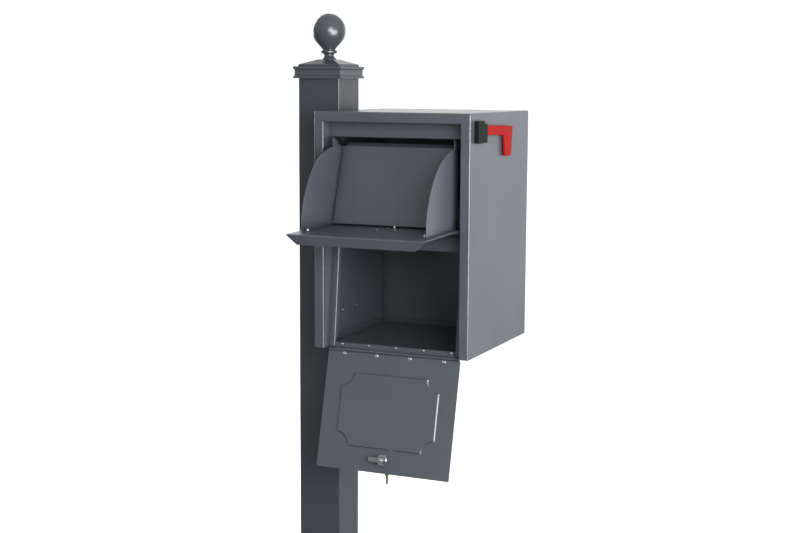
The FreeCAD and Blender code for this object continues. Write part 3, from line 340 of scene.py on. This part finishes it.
def stage_piece(name, corners, faces, finish):
    """A piece of the studio that the camera sees but that throws no light at the object."""
    mesh = bpy.data.meshes.new(name)
    mesh.from_pydata(corners, [], faces)
    mesh.materials.append(finish)
    piece = bpy.data.objects.new(name, mesh)
    bpy.context.scene.collection.objects.link(piece)
    piece.visible_diffuse = False
    piece.visible_glossy = False
    return piece


def make_floor_and_wall():
    """A white floor, and a white wall all round it that stops no light."""
    finish = pale_floor("floor_finish")
    floor_corners = [
        (-FLOOR_HALF, -FLOOR_HALF, 0), (FLOOR_HALF, -FLOOR_HALF, 0),
        (FLOOR_HALF, FLOOR_HALF, 0), (-FLOOR_HALF, FLOOR_HALF, 0),
    ]
    stage_piece("floor", floor_corners, [(0, 1, 2, 3)], finish)
    ring = []
    for panel in range(WALL_PANELS):
        turn = math.tau * panel / WALL_PANELS
        x = WALL_RADIUS * math.cos(turn)
        y = WALL_RADIUS * math.sin(turn)
        ring += [(x, y, 0.0), (x, y, WALL_TALL)]
    count = len(ring)
    quads = [(low, (low + 2) % count, (low + 3) % count, low + 1) for low in range(0, count, 2)]
    wall = stage_piece("wall", ring, quads, finish)
    wall.visible_shadow = False


def make_world():
    """A white room: brightest behind the object, dimmer above and in front, dark below."""
    world = bpy.data.worlds.new("studio")
    world.use_nodes = True
    tree = world.node_tree
    tree.nodes.clear()

    def span(value, low, high, to_low, to_high):
        remap = tree.nodes.new("ShaderNodeMapRange")
        remap.interpolation_type = "SMOOTHSTEP"
        tree.links.new(value, remap.inputs["Value"])
        set_range(remap, low, high, to_low, to_high)
        return remap.outputs["Result"]

    facing = tree.nodes.new("ShaderNodeMapping")
    facing.inputs["Rotation"].default_value = (0.0, 0.0, -math.radians(CAMERA_YAW))
    tree.links.new(tree.nodes.new("ShaderNodeTexCoord").outputs["Generated"], facing.inputs["Vector"])
    heading = tree.nodes.new("ShaderNodeSeparateXYZ")
    tree.links.new(facing.outputs["Vector"], heading.inputs[0])
    front_to_back = span(heading.outputs["Y"], 0.35, 0.95, ROOM_FRONT, ROOM_BACK)
    down_to_up = span(heading.outputs["Z"], -0.6, 0.1, ROOM_BELOW, 1.0)
    walls = tree.nodes.new("ShaderNodeMath")
    walls.operation = "MULTIPLY"
    tree.links.new(front_to_back, walls.inputs[0])
    tree.links.new(down_to_up, walls.inputs[1])
    strength = tree.nodes.new("ShaderNodeMix")
    tree.links.new(span(heading.outputs["Z"], 0.14, 0.40, 0.0, 1.0), strength.inputs["Factor"])
    tree.links.new(walls.outputs[0], strength.inputs["A"])
    strength.inputs["B"].default_value = ROOM_ABOVE
    backdrop = tree.nodes.new("ShaderNodeBackground")
    backdrop.inputs["Color"].default_value = ROOM_TINT
    tree.links.new(strength.outputs[0], backdrop.inputs["Strength"])
    output = tree.nodes.new("ShaderNodeOutputWorld")
    tree.links.new(backdrop.outputs[0], output.inputs["Surface"])
    bpy.context.scene.world = world


def around(azimuth, elevation, distance):
    """A place round the box: azimuth is turned from straight in front towards +X."""
    turn = math.radians(azimuth)
    lift = math.radians(elevation)
    direction = Vector((
        math.sin(turn) * math.cos(lift),
        -math.cos(turn) * math.cos(lift),
        math.sin(lift),
    ))
    return BOX_FACE + distance * direction


def softbox(name, place, width, height, power):
    """A rectangular light that faces the box and isn't seen itself."""
    light = bpy.data.lights.new(name, "AREA")
    light.shape = "RECTANGLE"
    light.size = width
    light.size_y = height
    light.energy = power
    lamp = bpy.data.objects.new(name, light)
    bpy.context.scene.collection.objects.link(lamp)
    lamp.location = place
    lamp.visible_camera = False
    lamp.rotation_euler = (BOX_FACE - lamp.location).to_track_quat("-Z", "Y").to_euler()


def make_lights():
    softbox("key", around(64.0, 0.0, 1.9), 1.65, 1.1, 66.0)
    softbox("front", around(41.0, 20.0, 2.6), 0.9, 0.9, 27.0)
    softbox("doorway", around(30.0, 11.0, 2.6), 0.7, 0.7, 16.0)
    softbox("behind", around(235.0, 20.0, 2.6), 1.4, 1.4, 42.0)


def make_camera():
    """Long lens a little above the box, turned left and tipped a little down."""
    data = bpy.data.cameras.new("camera")
    data.lens = CAMERA_LENS
    data.sensor_width = CAMERA_SENSOR
    data.clip_end = CAMERA_REACH
    camera = bpy.data.objects.new("camera", data)
    bpy.context.scene.collection.objects.link(camera)
    turned = Matrix.Rotation(math.radians(CAMERA_YAW), 4, "Z")
    tipped = Matrix.Rotation(math.radians(90.0 - CAMERA_DOWN), 4, "X")
    rolled = Matrix.Rotation(math.radians(CAMERA_ROLL), 4, "Z")
    camera.matrix_world = Matrix.Translation(CAMERA_PLACE) @ turned @ tipped @ rolled
    bpy.context.scene.camera = camera


make_floor_and_wall()
make_world()
make_lights()
make_camera()
bpy.context.scene.view_settings.view_transform = "Standard"
